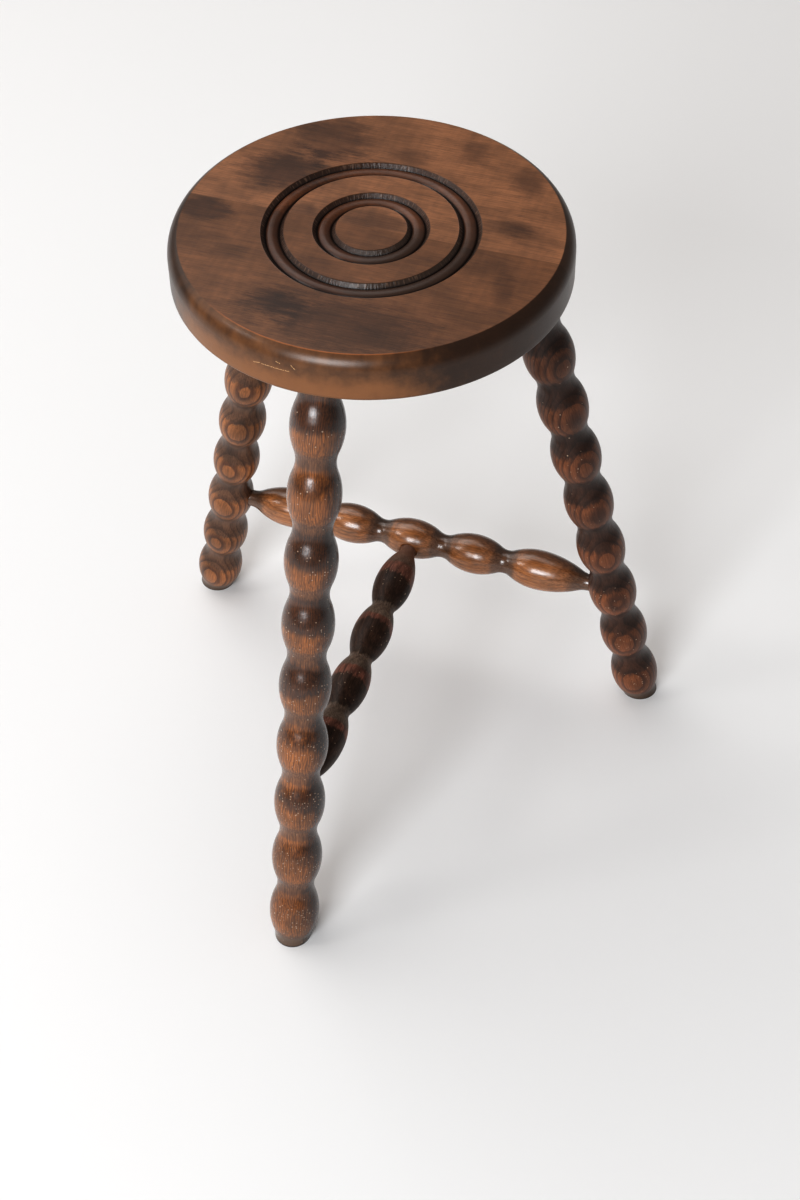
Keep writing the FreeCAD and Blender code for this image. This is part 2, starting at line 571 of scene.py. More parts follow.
    def bump(self, height: Socket, depth: float, under: Socket | None = None) -> Socket:
        """Surface relief.

        Args:
            height: The relief, from 0 to 1.
            depth: How deep 1 is, in metres.
            under: The normal that it is added to.

        Returns:
            The new normal.
        """
        node = self.nodes.new("ShaderNodeBump")
        node.inputs["Strength"].default_value = 1.0
        node.inputs["Distance"].default_value = depth
        self.feed(node.inputs["Height"], height)
        if under is not None:
            self.feed(node.inputs["Normal"], under)
        return node.outputs[0]

    def surface(self, colour: Socket, roughness: Socket, relief: Socket, varnish: Socket) -> None:
        """Feeds the finished looks to the shader.

        Args:
            colour: The surface's colour.
            roughness: Its roughness.
            relief: The normal of the wood.
            varnish: The normal of the varnish over it.
        """
        self.feed(self.shader.inputs["Base Color"], colour)
        self.feed(self.shader.inputs["Roughness"], roughness)
        self.feed(self.shader.inputs["Normal"], relief)
        self.feed(self.shader.inputs["Coat Normal"], varnish)

    def varnish(self, weight: float, dullness: float, index: float) -> None:
        """Lays varnish over the surface.

        Args:
            weight: How much of it there is.
            dullness: How rough it is.
            index: Its refractive index.
        """
        self.shader.inputs["Specular IOR Level"].default_value = self.WOOD_GLOSS
        self.shader.inputs["Coat Weight"].default_value = weight
        self.shader.inputs["Coat Roughness"].default_value = dullness
        self.shader.inputs["Coat IOR"].default_value = index


def place_in_frame(piece: bpy.types.Object, material: bpy.types.Material, node: str) -> None:
    """Dresses a piece and lets it stand for its CAD node.

    Args:
        piece: The finished piece.
        material: What it is dressed in.
        node: The CAD node that it stands for.
    """
    piece.data.materials.clear()
    piece.data.materials.append(material)
    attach(piece, "root")
    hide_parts(node)
    LOG.info("%s: %d faces, stands for %s", piece.name, len(piece.data.polygons), node)


# Multiplies the side of a piece that gets little light: painted shade.
SIDE_PAINTED_SHADE = tint(96, 72, 64)
SPECK = tint(186, 160, 136)
HAZY_END = tint(128, 94, 78)
# The white floor's reflection, painted on the foot.
FLOOR_REFLECTION_ON_FOOT = tint(98, 78, 62)
# A contact shadow, painted round the foot where it meets the floor.
FOOT_CONTACT_SHADOW = tint(40, 30, 24)

# How fine each noise on turned wood is, per millimetre: twice across the piece, then along it.
FIBRES = (1.3, 1.3, 0.045)
PORES = (2.6, 2.6, 0.16)
PATCHES = (0.05, 0.05, 0.03)
RAGGED_EDGES = (0.3, 0.3, 0.1)
BAND_DRIFT = (0.012, 0.012, 0.016)
DENTS = (0.12, 0.12, 0.12)
LAYER_SWAY = (0.018, 0.018, 0.006)
LAYER_RIPPLE = (0.11, 0.11, 0.04)
SPECK_PLACES = (0.5, 0.5, 0.5)

# How deep the relief is, in metres.
DENT_DEPTH = 0.00025
GRAIN_DEPTH = 0.0001
VARNISH_DEPTH = 0.00002
BOARD_GRAIN_DEPTH = 0.00008
TORN_DEPTH = 0.0004


@dataclass(frozen=True)
class TurnedWoodFinish:
    """Stained and varnished turned wood, banded along its beads. Lengths are in millimetres.

    Angles on a bead are in degrees: 0 at its widest place, 90 between that and the next neck along the
    axis, and 180 at that neck.
    """

    name: str
    early: Colour
    late: Colour
    stain: Colour  # the dark band on each bead, partly stain and partly painted shade
    light: Colour  # the light band on each bead
    year: float = 2.8  # thickness of one growth layer
    pith_distance: float = 45.0
    pith_drift: float = 0.0  # sideways drift of the pith for each unit along the axis
    tilt: float = 0.0  # drift of the pith away from the piece for each unit along the axis
    bend: float = 0.0  # how much the tilt changes in each unit
    wander: float = 3.0  # how far the growth layers stray along the piece
    ripple: float = 1.0  # how far they stray within a bead
    late_strength: float = 0.85  # how much of the late wood's colour shows
    stain_and_shade_angle: float = 90.0  # the middle of the dark band
    stain_and_shade_reach: tuple[float, float] = (0.0, 0.6)  # where it starts and is full, as cosines from its middle
    stain_and_shade_strength: float = 0.8
    stain_and_shade_rise: float = 0.0  # over how much of the first end the dark band is weaker
    light_angle: float = 215.0  # the middle of the light band
    light_reach: tuple[float, float] = (0.6, 0.85)  # where it starts and is full, likewise
    light_strength: float = 0.5
    drift: float = 0.3  # how much the bands differ from bead to bead
    fibre_strength: float = 0.4  # how much lighter and darker the fibres are
    patch_strength: float = 0.3  # and the patches
    dullness: float = 0.5  # how rough the wood is under the varnish
    coat: float = 1.0  # how much varnish there is
    coat_dullness: float = 0.27  # how rough the varnish is
    coat_index: float = 1.5  # its refractive index
    painted_shade_side: float = 0.0  # degrees round from the figure to the side with the most painted shade
    # how strong the painted shade on that side is
    painted_shade_strength: float = 0.0
    pale_start: float = 0.0  # how far along the haze of the piece's first end reaches
    end_shade: float = 1.0  # how bright the far end is, as a share
    shade_reach: tuple[float, float] = (60.0, 440.0)  # where that shade starts and is full
    foot: float = 0.0  # height of the band above the floor where the floor's reflection is painted
    specks: float = 0.0  # the share of the specks that shows at the first end
    speck_height: float = 480.0  # where the specks thin out
    seed: float = 0.0  # where in the noise the piece lies

    def material(self, placement: Matrix) -> bpy.types.Material:
        """Makes the material for a piece with this placement.

        Args:
            placement: From the turned piece's own frame, with its axis along Z, to where it is.

        Returns:
            The material.
        """
        graph = Graph(self.name)
        turn = placement.to_euler("XYZ")
        place = graph.in_millimetres(placement.translation, Vector(turn))
        late = self.growth(graph, place)
        fibres = graph.noise(graph.scaled(place, FIBRES, self.seed), 3.0, 0.6)
        pores = graph.noise(graph.scaled(place, PORES, self.seed), 1.0)
        pores = graph.times(graph.span(pores, 0.6, 0.7), graph.minus(1.0, late))
        patches = graph.noise(graph.scaled(place, PATCHES, self.seed + 7.0), 3.0, 0.6)
        ragged = graph.noise(graph.scaled(place, RAGGED_EDGES, self.seed + 3.0), 3.0, 0.6)
        drift = graph.noise(graph.scaled(place, BAND_DRIFT, self.seed + 21.0), 1.0)
        fray = graph.times(graph.minus(graph.plus(ragged, patches), 1.0), 1.2)
        stray = graph.plus(fray, graph.swing(drift, -self.drift, self.drift))

        colour = graph.mix(graph.times(late, self.late_strength), self.early, self.late)
        light = graph.plus(self.around(graph, self.light_angle), graph.times(fray, 0.4))
        light = graph.times(graph.span(light, *self.light_reach), self.light_strength)
        lined = graph.mix(graph.times(late, 0.3), self.light, self.late)
        colour = graph.mix(light, colour, lined)
        # The dark band on each bead: partly stain, partly painted shade.
        stain = graph.plus(self.around(graph, self.stain_and_shade_angle), stray)
        along = graph.parts(place)[2]
        stain = graph.times(graph.span(stain, *self.stain_and_shade_reach), self.stain_and_shade_strength)
        if self.stain_and_shade_rise > 0.0:
            stain = graph.times(stain, graph.span(along, 0.0, self.stain_and_shade_rise, 0.35, 1.0))
        steeped = graph.mix(0.5, self.stain, self.late, "MULTIPLY")
        colour = graph.mix(stain, colour, graph.mix(graph.times(late, 0.5), self.stain, steeped))
        streak = graph.swing(fibres, 1.0 - self.fibre_strength, 1.0 + self.fibre_strength)
        blotch = graph.swing(patches, 1.0 - self.patch_strength, 1.0 + self.patch_strength)
        shade = graph.times(graph.times(streak, blotch), graph.span(pores, 0.0, 1.0, 1.0, 0.65))
        colour = self.ends(graph, place, fray, graph.shaded(colour, shade))
        # Painted shade on the side of the piece that gets little light.
        if self.painted_shade_strength > 0.0:
            dark = graph.times(self.on_painted_shade_side(graph, place, fray), self.painted_shade_strength)
            colour = graph.mix(dark, colour, SIDE_PAINTED_SHADE, "MULTIPLY")
        if self.specks > 0.0:
            colour = graph.mix(self.dust(graph, place), colour, SPECK)

        dents = graph.noise(graph.scaled(place, DENTS, self.seed + 11.0), 2.0)
        relief = graph.plus(graph.times(late, 0.5), graph.times(fibres, 0.5))
        relief = graph.minus(relief, graph.times(pores, 0.6))
        smooth = graph.bump(dents, DENT_DEPTH)
        dull = graph.plus(graph.times(fibres, 0.16), graph.times(light, 0.15))
        dull = graph.plus(dull, self.dullness - 0.08)
        grain = graph.bump(relief, GRAIN_DEPTH, smooth)
        graph.surface(colour, dull, grain, graph.bump(relief, VARNISH_DEPTH, smooth))
        graph.varnish(self.coat, self.coat_dullness, self.coat_index)
        return graph.material

    def around(self, graph: Graph, degrees: float) -> Socket:
        """How near a place is to an angle on its bead, as the cosine of the difference.

        Args:
            graph: The material's nodes.
            degrees: The angle.

        Returns:
            From -1 to 1.
        """
        angle = math.radians(degrees)
        neck = graph.times(graph.attribute("bead_neck"), -math.cos(angle))
        return graph.minus(neck, graph.times(graph.attribute("bead_low"), math.sin(angle)))

    def growth(self, graph: Graph, place: Socket) -> Socket:
        """Growth layers round a pith that runs beside the piece's axis.

        Args:
            graph: The material's nodes.
            place: The place in the piece's own frame.

        Returns:
            How much of it is late wood, from 0 to 1.
        """
        x, y, z = graph.parts(place)
        sway = graph.noise(graph.scaled(place, LAYER_SWAY, self.seed), 1.0)
        ripple = graph.noise(graph.scaled(place, LAYER_RIPPLE, self.seed + 5.0), 2.0)
        aside = graph.minus(y, graph.times(z, self.pith_drift))
        radius = graph.length(graph.joined(graph.plus(x, self.pith_distance), aside, 0.0))
        radius = graph.plus(radius, graph.times(z, graph.plus(graph.times(z, self.bend / 2), self.tilt)))
        radius = graph.plus(radius, graph.times(graph.minus(sway, 0.5), 4.0 * self.wander))
        radius = graph.plus(radius, graph.times(graph.minus(ripple, 0.5), 4.0 * self.ripple))
        return graph.layers(radius, self.year)

    def ends(self, graph: Graph, place: Socket, fray: Socket, colour: Socket) -> Socket:
        """Darkens the piece's far end, makes its first end hazy and paints floor reflection and contact
        shadow on the foot.

        Args:
            graph: The material's nodes.
            place: The place in the piece's own frame.
            fray: What breaks up their edges.
            colour: The colour so far.

        Returns:
            The new colour.
        """
        along = graph.parts(place)[2]
        if self.end_shade < 1.0:
            colour = graph.shaded(colour, graph.span(along, *self.shade_reach, 1.0, self.end_shade))
        if self.pale_start > 0.0:
            pale = graph.span(along, 0.4 * self.pale_start, self.pale_start, 0.7, 0.0)
            colour = graph.mix(pale, colour, HAZY_END)
        if self.foot > 0.0:
            height = graph.maths("DIVIDE", graph.parts(graph.object_place)[2], MILLIMETRE)
            ragged = graph.plus(height, graph.times(fray, 2.0))
            # Painted reflection of the floor on the band above it.
            floor_reflection = graph.span(ragged, self.foot - 1.5, self.foot + 1.0, 0.8, 0.0)
            colour = graph.mix(floor_reflection, colour, FLOOR_REFLECTION_ON_FOOT)
            # Painted contact shadow on the lowest 1.6 mm of the foot.
            colour = graph.mix(graph.span(height, 0.4, 1.6, 0.85, 0.0), colour, FOOT_CONTACT_SHADOW)
        return colour

    def on_painted_shade_side(self, graph: Graph, place: Socket, fray: Socket) -> Socket:
        """How far a place is round towards the side where shade is painted.

        Args:
            graph: The material's nodes.
            place: The place in the piece's own frame.
            fray: What breaks up the edge of the painted shade.

        Returns:
            From 0 to 1.
        """
        x, y, _ = graph.parts(place)
        angle = math.radians(self.painted_shade_side)
        toward = graph.plus(graph.times(x, math.cos(angle)), graph.times(y, math.sin(angle)))
        share = graph.maths("DIVIDE", toward, graph.length(graph.joined(x, y, 0.0)))
        return graph.span(graph.plus(share, graph.times(fray, 0.6)), 0.1, 0.9)

    def dust(self, graph: Graph, place: Socket) -> Socket:
        """Pale specks round the widest part of the beads, which thin out up the piece.

        Args:
            graph: The material's nodes.
            place: The place in the piece's own frame.

        Returns:
            Where the specks are, from 0 to 1.
        """
        distance, chance = graph.cells(graph.scaled(place, SPECK_PLACES, self.seed))
        pick, size, tone = graph.parts(chance)
        height = graph.parts(place)[2]
        odds = graph.span(height, 0.0, self.speck_height, self.specks, self.specks * 0.1)
        wide = graph.span(self.around(graph, 20.0), -0.4, 0.9, 0.1, 1.0)
        chosen = graph.maths("LESS_THAN", pick, graph.times(odds, wide))
        radius = graph.plus(graph.times(size, 0.14), 0.08)
        spot = graph.span(graph.minus(distance, radius), 0.0, 0.1, 1.0, 0.0)
        return graph.times(graph.times(spot, chosen), graph.span(tone, 0.0, 1.0, 0.4, 0.95))


@dataclass
class Turning:
    """What all bobbin-turned pieces share: they are drawn along +Z and then laid on their axis."""

    name: str
    node: str  # the CAD node that it stands for
    start: Vector  # where its axis starts
    end: Vector  # where its axis ends
    figure: Vector  # the way that its growth layers face
    piece: bpy.types.Object | None = field(default=None, init=False)

    @property
    def length(self) -> float:
        """How long the axis is."""
        return (self.end - self.start).length

    @property
    def placement(self) -> Matrix:
        """From the frame that it is turned in to where it is."""
        return axis_frame(self.start, self.end, self.figure)

    def axis_point(self, distance: float) -> Vector:
        """The point of the axis at a distance from its start."""
        return self.start + (self.end - self.start).normalized() * distance

    def mark_beads(self, mesh: bmesh.types.BMesh, places: list[float], first_is_neck: bool) -> None:
        """Marks each point with where it is on its bead: low in its lower half, and near a neck.

        Args:
            mesh: The mesh, still along Z.
            places: The necks and widest places in turn, along the axis.
            first_is_neck: Whether the first of them is a neck.
        """
        low = mesh.verts.layers.float.new("bead_low")
        neck = mesh.verts.layers.float.new("bead_neck")
        shift = 1 if first_is_neck else 0
        for vertex in mesh.verts:
            step = min(max(bisect_right(places, vertex.co.z) - 1, 0), len(places) - 2)
            share = (vertex.co.z - places[step]) / (places[step + 1] - places[step])
            angle = math.pi * (step + shift + share)
            vertex[low] = -math.sin(angle)
            vertex[neck] = -math.cos(angle)

    def lay(self, mesh: bmesh.types.BMesh) -> None:
        """Moves a mesh from the Z axis to the piece's own axis."""
        bmesh.ops.transform(mesh, matrix=self.placement, verts=mesh.verts[:])

    def dress(self, finish: TurnedWoodFinish, slot: str) -> None:
        """Gives the piece its finish and puts it in the frame."""
        place_in_frame(self.piece, finish.material(self.placement), self.node)


SHARP_EDGE = 0.1  # the angle in radians past which two faces meet at an edge


@dataclass
class Leg(Turning):
    """A bobbin leg: level at the floor, scribed to the seat and tenoned into it. Lengths are in metres."""

    foot_neck: float  # how far up the leg its lowest neck is; below 0 it is cut away
    socket_height: float  # where along the leg its stretcher goes in
    bead_pitch: float = 0.0515
    bead_radius: float = 0.0185
    neck_radius: float = 0.01365
    cove: float = 0.0235  # the radius of the hollow arc at a neck
    tenon_radius: float = 0.011
    tenon_length: float = 0.022
    foot_wear: float = 0.0004  # how far the foot's edge is rounded
    segments: int = 96  # steps round the axis
    arc_steps: int = 5  # edges in each arc of the outline

    @property
    def joint(self) -> Vector:
        """Where its stretcher's axis meets its own."""
        return self.axis_point(self.socket_height)

    def bobbins(self) -> bmesh.types.BMesh:
        """Turns the bobbin body, a little longer than the leg at both ends.

        Returns:
            Its open mesh, laid in place.
        """
        mesh = bmesh.new()
        half = self.bead_pitch / 2
        height = self.foot_neck - half
        outline = Outline(mesh, self.bead_radius, height)
        places = [height]
        while height < self.length + self.tenon_radius:
            outline.half_bead(self.neck_radius, height + half, self.cove, self.arc_steps)
            outline.half_bead(self.bead_radius, height + 2 * half, self.cove, self.arc_steps)
            places += [height + half, height + 2 * half]
            height += 2 * half
        lathe(mesh, self.segments)
        self.mark_beads(mesh, places, first_is_neck=False)
        self.lay(mesh)
        return mesh

    def build(self) -> None:
        """Builds the leg."""
        mesh = self.bobbins()
        floor = cut_flat(mesh, ORIGIN, -UP)
        bmesh.ops.edgeloop_fill(mesh, edges=floor)
        soften(mesh, [edge for edge in mesh.edges if self.on_floor_rim(edge)], self.foot_wear, segments=2)
        underside = UP * self.end.z
        shoulder = cut_flat(mesh, underside, UP)
        root = self.tenon(mesh, underside)
        bmesh.ops.bridge_loops(mesh, edges=[*shoulder, *root])
        self.piece = finished(mesh, self.name)

    def on_floor_rim(self, edge: bmesh.types.BMEdge) -> bool:
        """Whether an edge runs round the foot's flat end."""
        ends = [vertex.co.z for vertex in edge.verts]
        return max(ends) < TOUCHING and edge.calc_face_angle(0.0) > SHARP_EDGE

    def tenon(self, mesh: bmesh.types.BMesh, underside: Vector) -> list[bmesh.types.BMEdge]:
        """Adds the tenon above the shoulder.

        Args:
            mesh: The leg's mesh.
            underside: A point on the seat's underside.

        Returns:
            The edges where the tenon leaves the shoulder.
        """
        length = self.tenon_length + 2 * self.tenon_radius
        lift = Matrix.Translation((0.0, 0.0, self.length + self.tenon_length - length / 2))
        above = rod(self.tenon_radius, length, self.segments, self.placement @ lift)
        cut_flat(above, underside, -UP)
        data = bpy.data.meshes.new(self.name + "_tenon")
        above.to_mesh(data)
        above.free()
        known = set(mesh.edges)
        mesh.from_mesh(data)
        bpy.data.meshes.remove(data)
        return [edge for edge in mesh.edges if edge not in known and edge.is_boundary]


@dataclass
class Stretcher(Turning):
    """A bobbin stretcher: middle beads between two long tapered end beads. Lengths are in metres."""

    beads: int
    bead_pitch: float
    bead_radius: float
    neck_radius: float
    first_neck: float  # from the start of its axis
    start_surface: float  # from the start of its axis to the surface of the piece there
    end_surface: float  # and the same at its end
    past_start: float  # how far its tenon runs past the start of its axis
    past_end: float  # and past its end
    cove: float = 0.0118  # the radius of the hollow arc at a neck
    taper_cove: float = 0.017  # and of that where an end bead meets its tenon
    taper_start: float = 0.027  # from the last neck to the widest place of an end bead
    tenon_radius: float = 0.0066
    shoulder_clearance: float = 0.0005  # from the surface of the bored piece to the end of the taper
    segments: int = 80
    arc_steps: int = 7
    taper_steps: int = 8

    def build(self) -> None:
        """Builds the stretcher with its tenons."""
        mesh = bmesh.new()
        first = self.start_surface + self.shoulder_clearance
        last = self.length - self.end_surface - self.shoulder_clearance
        necks = [self.first_neck + step * self.bead_pitch for step in range(self.beads + 1)]
        outline = Outline(mesh, 0.0, -self.past_start)
        outline.line_to(self.tenon_radius, -self.past_start)
        outline.line_to(self.tenon_radius, first, steps=4)
        places = [first, necks[0] - self.taper_start]
        outline.half_bead(self.bead_radius, places[-1], self.taper_cove, self.taper_steps)
        for neck in necks:
            outline.half_bead(self.neck_radius, neck, self.cove, self.arc_steps)
            far = neck + (self.taper_start if neck == necks[-1] else self.bead_pitch / 2)
            outline.half_bead(self.bead_radius, far, self.cove, self.arc_steps)
            places += [neck, far]
        outline.half_bead(self.tenon_radius, last, self.taper_cove, self.taper_steps)
        places.append(last)
        outline.line_to(self.tenon_radius, self.length + self.past_end, steps=4)
        outline.line_to(0.0, self.length + self.past_end)
        lathe(mesh, self.segments)
        self.mark_beads(mesh, places, first_is_neck=True)
        self.lay(mesh)
        self.piece = finished(mesh, self.name)

    def bore_into(self, host: Turning, joint: Vector, toward: Vector, depth: float) -> None:
        """Bores the stretcher's blind socket into the piece that holds it.

        Args:
            host: The piece to bore.
            joint: Where their axes meet.
            toward: A point on the stretcher's axis outside the host.
            depth: How far the tenon runs past the host's axis.
        """
        length = depth + SOCKET_RELIEF + 2 * Leg.bead_radius
        lift = Matrix.Translation((0.0, 0.0, length / 2 - depth - SOCKET_RELIEF))
        placement = axis_frame(joint, toward, UP) @ lift
        cutter = rod(self.tenon_radius + GLUE_GAP, length, self.segments, placement)
        bore(host.piece, [finished(cutter, self.name + "_socket")])


@dataclass(frozen=True)
class Stance:
    """Where one leg stands. Lengths are in metres and angles in degrees from +X, seen from above."""

    angle: float  # the leg's direction from the seat's axis
    foot_radius: float  # how far its foot is from the seat's axis
    foot_neck: float  # how far up the leg its lowest neck is; below 0 it is cut away
    socket_height: float  # where along the leg its stretcher goes in
    figure: float  # the way that its growth layers face


STANCES = {
    "front": Stance(
        angle=-90.0, foot_radius=0.2173, foot_neck=-0.0016, socket_height=0.1296, figure=23.0,
    ),
    "right_rear": Stance(
        angle=28.0, foot_radius=0.2132, foot_neck=-0.0001, socket_height=0.1278, figure=-80.0,
    ),
    "left_rear": Stance(
        angle=150.4, foot_radius=0.2206, foot_neck=0.0018, socket_height=0.1322, figure=-102.0,
    ),
}


@dataclass
class Base:
    """Everything under the seat: three legs and the T of stretchers. Lengths are in metres."""

    underside: float  # the height of the seat's underside
    leg_top_radius: float = 0.1003  # from the seat's axis to a leg's axis at the underside
    rear_beads: int = 3
    rear_pitch: float = 0.052
    rear_bead: float = 0.0159
    rear_neck: float = 0.0094
    rear_shift: float = 0.0036  # from mid-length to the centre bead, towards the left leg
    cross_beads: int = 2
    cross_pitch: float = 0.0551
    cross_bead: float = 0.0149
    cross_neck: float = 0.00915
    cross_first_neck: float = 0.0808  # from the rear stretcher's axis
    past_leg_axis: float = 0.005  # how far a stretcher's tenon runs past a leg's axis
    past_rail_axis: float = 0.003  # and past the rear stretcher's axis
    rear_figure: tuple[float, float, float] = (0.0, -0.2, 1.0)  # the way that its growth layers face
    cross_figure: tuple[float, float, float] = (0.7, -0.2, 0.7)
    legs: dict[str, Leg] = field(default_factory=dict)
    rear: Stretcher | None = None
    cross: Stretcher | None = None

    def stand(self, side: str, stance: Stance) -> Leg:
        """Places one leg and builds it.

        Args:
            side: The side that the leg is named for.
            stance: Where it stands.

        Returns:
            The leg.
        """
        out = heading(stance.angle)
        leg = Leg(
            "leg_" + side, side + "_leg", out * stance.foot_radius,
            out * self.leg_top_radius + UP * self.underside, heading(stance.figure),
            foot_neck=stance.foot_neck, socket_height=stance.socket_height,
        )
        leg.build()
        return leg

    def build(self) -> None:
        """Builds the legs and the stretchers, and bores the sockets between them."""
        self.legs = {side: self.stand(side, stance) for side, stance in STANCES.items()}
        left, right = self.legs["left_rear"].joint, self.legs["right_rear"].joint
        front = self.legs["front"].joint
        tee_distance = (right - left).length / 2 - self.rear_shift
        tee = left + (right - left).normalized() * tee_distance
        self.rear = Stretcher(
            "rear_rail", "rear_stretcher", left, right, Vector(self.rear_figure),
            beads=self.rear_beads, bead_pitch=self.rear_pitch,
            bead_radius=self.rear_bead, neck_radius=self.rear_neck,
            first_neck=tee_distance - self.rear_beads / 2 * self.rear_pitch,
            start_surface=Leg.bead_radius, end_surface=Leg.bead_radius,
            past_start=self.past_leg_axis, past_end=self.past_leg_axis,
        )
        self.cross = Stretcher(
            "cross_rail", "cross_stretcher", tee, front, Vector(self.cross_figure),
            beads=self.cross_beads, bead_pitch=self.cross_pitch,
            bead_radius=self.cross_bead, neck_radius=self.cross_neck,
            first_neck=self.cross_first_neck,
            start_surface=self.rear_bead, end_surface=Leg.bead_radius,
            past_start=self.past_rail_axis, past_end=self.past_leg_axis,
        )
        self.rear.build()
        self.cross.build()
        self.rear.bore_into(self.legs["left_rear"], left, right, self.past_leg_axis)
        self.rear.bore_into(self.legs["right_rear"], right, left, self.past_leg_axis)
        self.cross.bore_into(self.legs["front"], front, tee, self.past_leg_axis)
        self.cross.bore_into(self.rear, tee, front, self.past_rail_axis)

    def dress(self) -> None:
        """Gives every turned piece its finish."""
        self.legs["front"].dress(
            TurnedWoodFinish(
                "front_leg_varnish", early=tint(138, 84, 38), late=tint(82, 45, 23),
                stain=tint(48, 25, 16), light=tint(90, 62, 44),
                year=1.7, pith_distance=60.0, ripple=1.6, late_strength=0.7, stain_and_shade_reach=(-0.2, 0.7),
                stain_and_shade_rise=150.0, light_strength=0.7, drift=0.7, fibre_strength=0.4, coat_dullness=0.25,
                coat_index=1.72, painted_shade_strength=0.9, foot=9.0, specks=1.0, seed=2.0,
            ),
            "leg_wood",
        )
        rear_legs = {
            "wander": 0.3, "ripple": 0.4, "pith_distance": 39.4, "stain_and_shade_angle": 165.0,
            "stain_and_shade_reach": (-0.2, 0.4), "stain_and_shade_strength": 0.85, "fibre_strength": 0.25,
            "light_strength": 0.3, "drift": 0.15, "foot": 10.0, "coat": 0.7, "coat_dullness": 0.34,
        }
        self.legs["right_rear"].dress(
            TurnedWoodFinish(
                "right_leg_varnish", early=tint(126, 78, 50), late=tint(78, 48, 34),
                stain=tint(58, 40, 32), light=tint(104, 74, 56),
                pith_drift=-0.084, tilt=0.08, bend=-0.00063, end_shade=0.65,
                painted_shade_side=75.0, painted_shade_strength=0.35, specks=0.2, seed=13.0, **rear_legs,
            ),
            "leg_wood",
        )
        self.legs["left_rear"].dress(
            TurnedWoodFinish(
                "left_leg_varnish", early=tint(146, 97, 61), late=tint(78, 50, 37),
                stain=tint(86, 64, 51), light=tint(108, 78, 58),
                pith_drift=-0.05, tilt=-0.04, bend=0.00045, seed=29.0, **rear_legs,
            ),
            "leg_wood",
        )
        self.rear.dress(
            TurnedWoodFinish(
                "rear_rail_varnish", early=tint(158, 106, 66), late=tint(112, 72, 45),
                stain=tint(84, 54, 38), light=tint(92, 70, 56),
                year=3.2, pith_distance=70.0, late_strength=0.5, stain_and_shade_strength=0.3, drift=0.6,
                light_angle=180.0, light_reach=(0.15, 0.75), light_strength=0.9, fibre_strength=0.3,
                coat_dullness=0.22, coat_index=1.7, painted_shade_side=-60.0, painted_shade_strength=0.6, seed=17.0,
            ),
            "stretcher_wood",
        )
        self.cross.dress(
            TurnedWoodFinish(
                "cross_rail_varnish", early=tint(120, 80, 66), late=tint(70, 47, 38),
                stain=tint(52, 38, 29), light=tint(100, 90, 78),
                year=3.4, pith_distance=30.0, ripple=1.6, late_strength=0.7, stain_and_shade_angle=82.0,
                stain_and_shade_reach=(-0.12, 0.25), stain_and_shade_strength=0.92, drift=0.25, light_angle=222.0,
                light_reach=(0.2, 0.45), light_strength=0.8, coat=0.45, coat_dullness=0.4,
                pale_start=50.0, specks=0.25, seed=23.0,
            ),
            "stretcher_wood",
        )


@dataclass(frozen=True)
class Blotch:
    """A soft patch on the seat's top. Lengths are in millimetres from the seat's centre."""

    x: float
    y: float
    half_length: float
    half_width: float
    strength: float  # from 0 to 1
    turn: float = 0.0  # degrees from the grain
    hard: float = 0.0  # from 0, soft, to 1, a crisp edge


@dataclass(frozen=True)
class Scratch:
    """A pale scratch on the seat's rim: degrees round the seat and millimetres up from its flat top."""

    start: tuple[float, float]
    end: tuple[float, float]


RING_STAIN = tint(158, 130, 100)
RING_WALL = tint(50, 35, 27)
# The grey of the rings' torn side: torn grain with a painted sheen.
TORN_WALL_AND_SHEEN = tint(66, 53, 44)
TORN_BEAD_AND_SHEEN = tint(62, 49, 41)
TORN_FIBRE = tint(118, 94, 78)
# Painted shade in the sharp hollows beside the ring beads.
QUIRK_PAINTED_SHADE = tint(26, 18, 15)
# The rim's dark sides are stain and painted shade; its amber front is real colour and painted light.
RIM_STAIN_AND_SHADE = tint(44, 28, 18)
RIM_AMBER = tint(138, 93, 56)
RIM_BOTTOM = tint(44, 30, 24)
RUBBED_ARRIS = tint(170, 104, 56)
SCRATCHED_WOOD = tint(214, 172, 124)

# How fine each noise on the boards is, per millimetre: along the grain, then twice across it.
BOARD_SWAY = (0.006, 0.02, 0.02)
BOARD_FIBRES = (0.035, 1.1, 1.1)
BOARD_FLECKS = (0.14, 1.9, 1.9)
BOARD_CROSS_MARKS = (0.22, 0.03, 0.03)
BOARD_PATCHES = (0.02, 0.035, 0.035)
BLOTCH_EDGES = (0.04, 0.16, 0.16)


